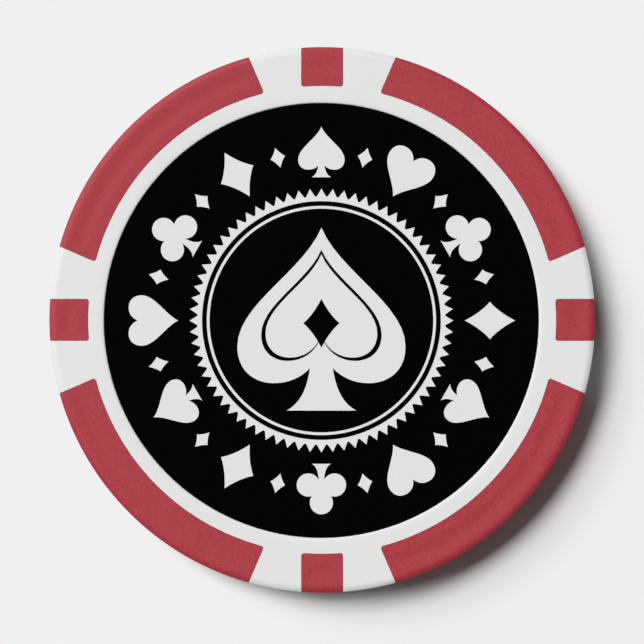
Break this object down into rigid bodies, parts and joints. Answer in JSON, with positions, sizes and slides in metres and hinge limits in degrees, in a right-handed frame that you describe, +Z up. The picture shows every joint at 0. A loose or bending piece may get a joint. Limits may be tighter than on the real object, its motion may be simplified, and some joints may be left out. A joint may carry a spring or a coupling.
{
  "type": "poker chip",
  "caption": "Round weighted poker chip: white moulded body with long and short red edge inserts, a recessed round label on each face and a steel disc inside.",
  "frame": {"origin": "centre of the back face, on the surface that the chip lies on", "axes": "+Z up along the chip's axis, out of the front face; +X through the middle of a short insert"},
  "size_m": [0.04, 0.04, 0.0033],
  "materials": {
    "white_plastic": "satin",
    "red_plastic": "matte",
    "slug_steel": "satin",
    "adhesive": "matte",
    "printed_film": "matte",
    "clear_film": "satin"
  },
  "bodies": {
    "root": {"chip_body": "white_plastic", "weight_slug": "slug_steel", "long_insert_1": "red_plastic", "long_insert_2": "red_plastic", "long_insert_3": "red_plastic", "long_insert_4": "red_plastic", "short_insert_1": "red_plastic", "short_insert_2": "red_plastic", "short_insert_3": "red_plastic", "short_insert_4": "red_plastic", "front_adhesive": "adhesive", "front_label": "printed_film", "front_overlay": "clear_film", "back_adhesive": "adhesive", "back_label": "printed_film", "back_overlay": "clear_film"}
  },
  "joints": []
}
